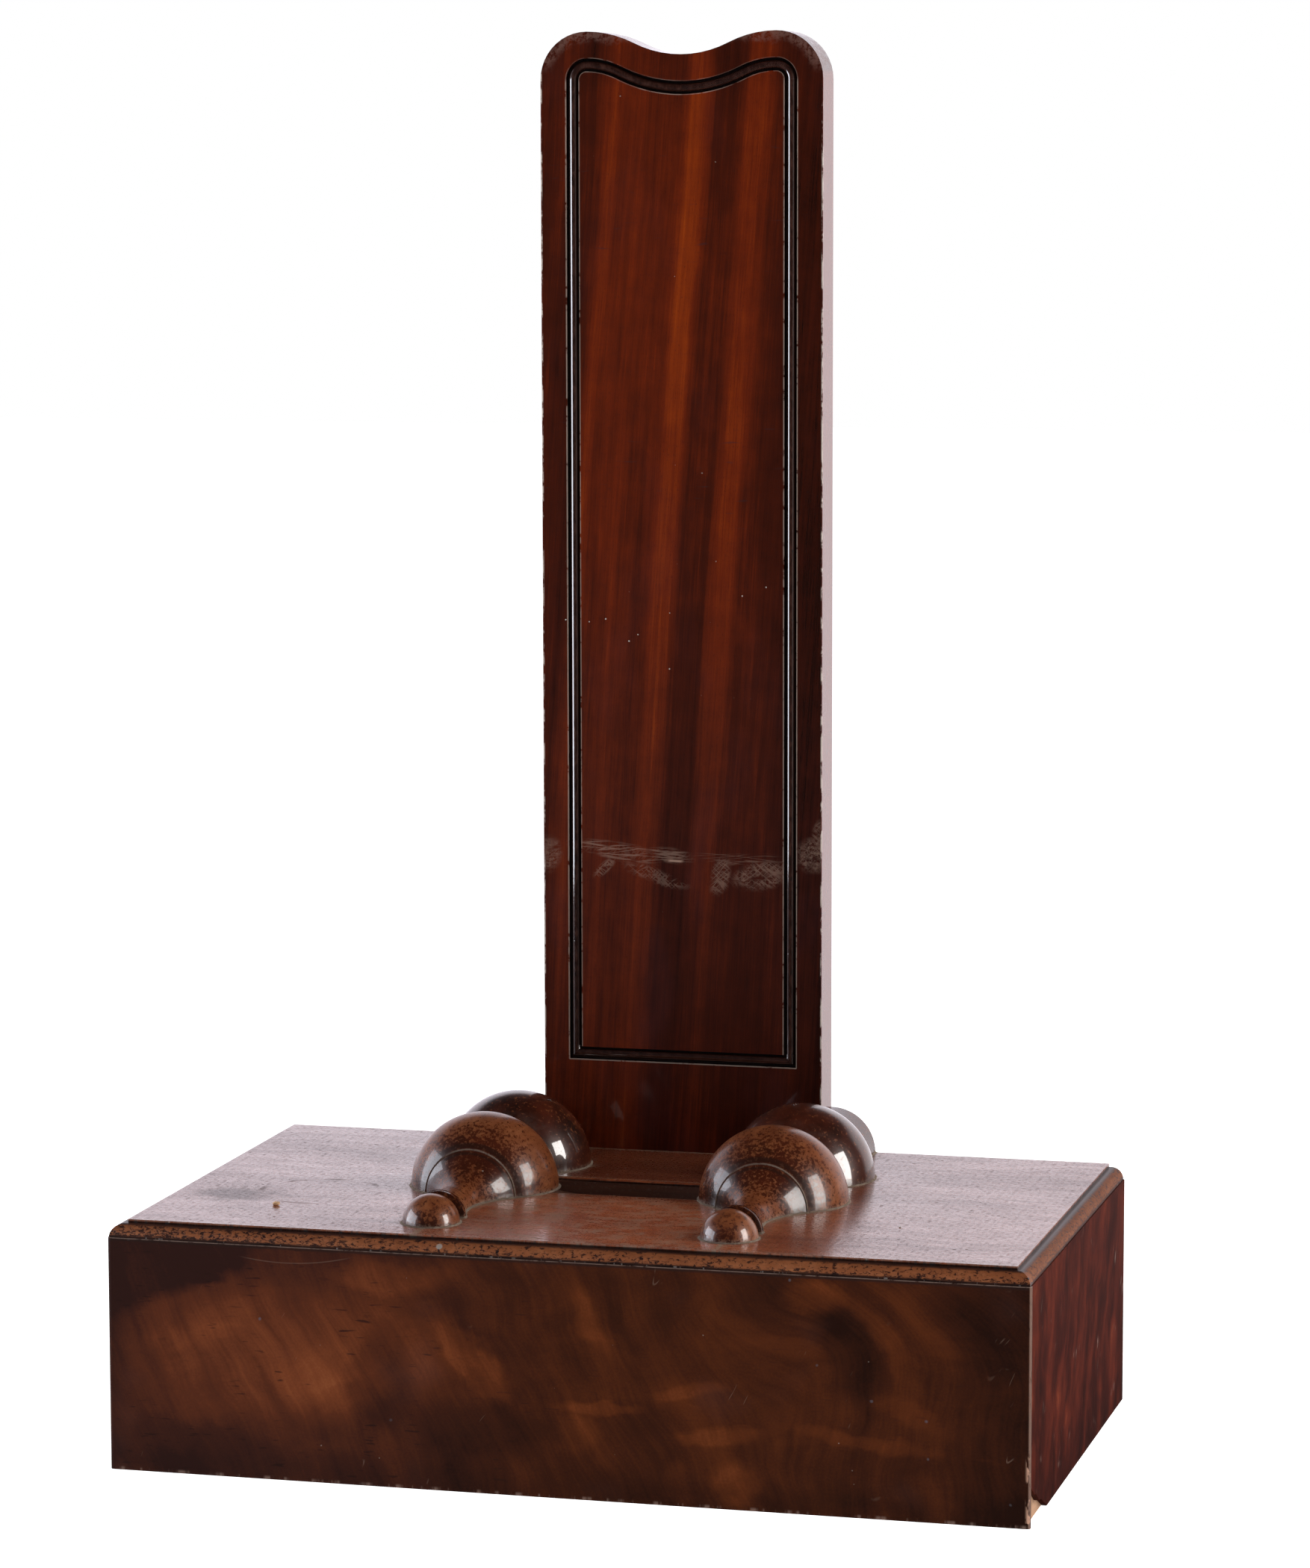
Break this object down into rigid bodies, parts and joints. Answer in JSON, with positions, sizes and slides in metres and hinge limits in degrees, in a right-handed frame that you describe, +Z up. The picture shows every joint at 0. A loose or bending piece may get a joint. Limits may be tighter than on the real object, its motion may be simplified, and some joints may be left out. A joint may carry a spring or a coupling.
{
  "type": "table display stand",
  "caption": "Table display stand: veneered box plinth with ovolo edge, tall upright board with sunk bead panel, and half turnings either side of a dish trough.",
  "frame": {"origin": "middle of the plinth's underside, on the surface that it stands on", "axes": "+X to the object's right as seen from its front, +Y to its back, +Z up; the front faces -Y"},
  "size_m": [0.45, 0.2574, 0.69],
  "materials": {
    "top_core": "unpolished mahogany, darkened",
    "top_surface": "worn French polish on saw-cut mahogany veneer",
    "edge_moulding": "mahogany with its polish rubbed through along the crown",
    "carcase": "bare softwood, aged",
    "front_surface": "French-polished flame mahogany veneer",
    "side_surface": "French-polished straight-grained mahogany veneer",
    "glue_blocks": "bare softwood, aged",
    "upright": "high-gloss French-polished ribbon mahogany",
    "panel_bead": "French-polished mahogany, dirt in the quirks",
    "turnings": "polished mahogany with a dark mottled patina",
    "screws": "dull slotted iron screws"
  },
  "bodies": {
    "root": {"plinth_top": "top_core", "top_veneer": "top_surface", "front_edge_moulding": "edge_moulding", "left_edge_moulding": "edge_moulding", "right_edge_moulding": "edge_moulding", "carcase_front": "carcase", "carcase_back": "carcase", "carcase_left": "carcase", "carcase_right": "carcase", "front_veneer": "front_surface", "left_veneer": "side_surface", "right_veneer": "side_surface", "corner_glue_blocks": "glue_blocks", "top_glue_blocks": "glue_blocks", "upright_board": "upright", "panel_bead_left": "panel_bead", "panel_bead_right": "panel_bead", "panel_bead_foot": "panel_bead", "panel_bead_crest": "panel_bead", "left_half_turning": "turnings", "right_half_turning": "turnings", "upright_screws": "screws", "turning_screws": "screws"}
  },
  "joints": []
}
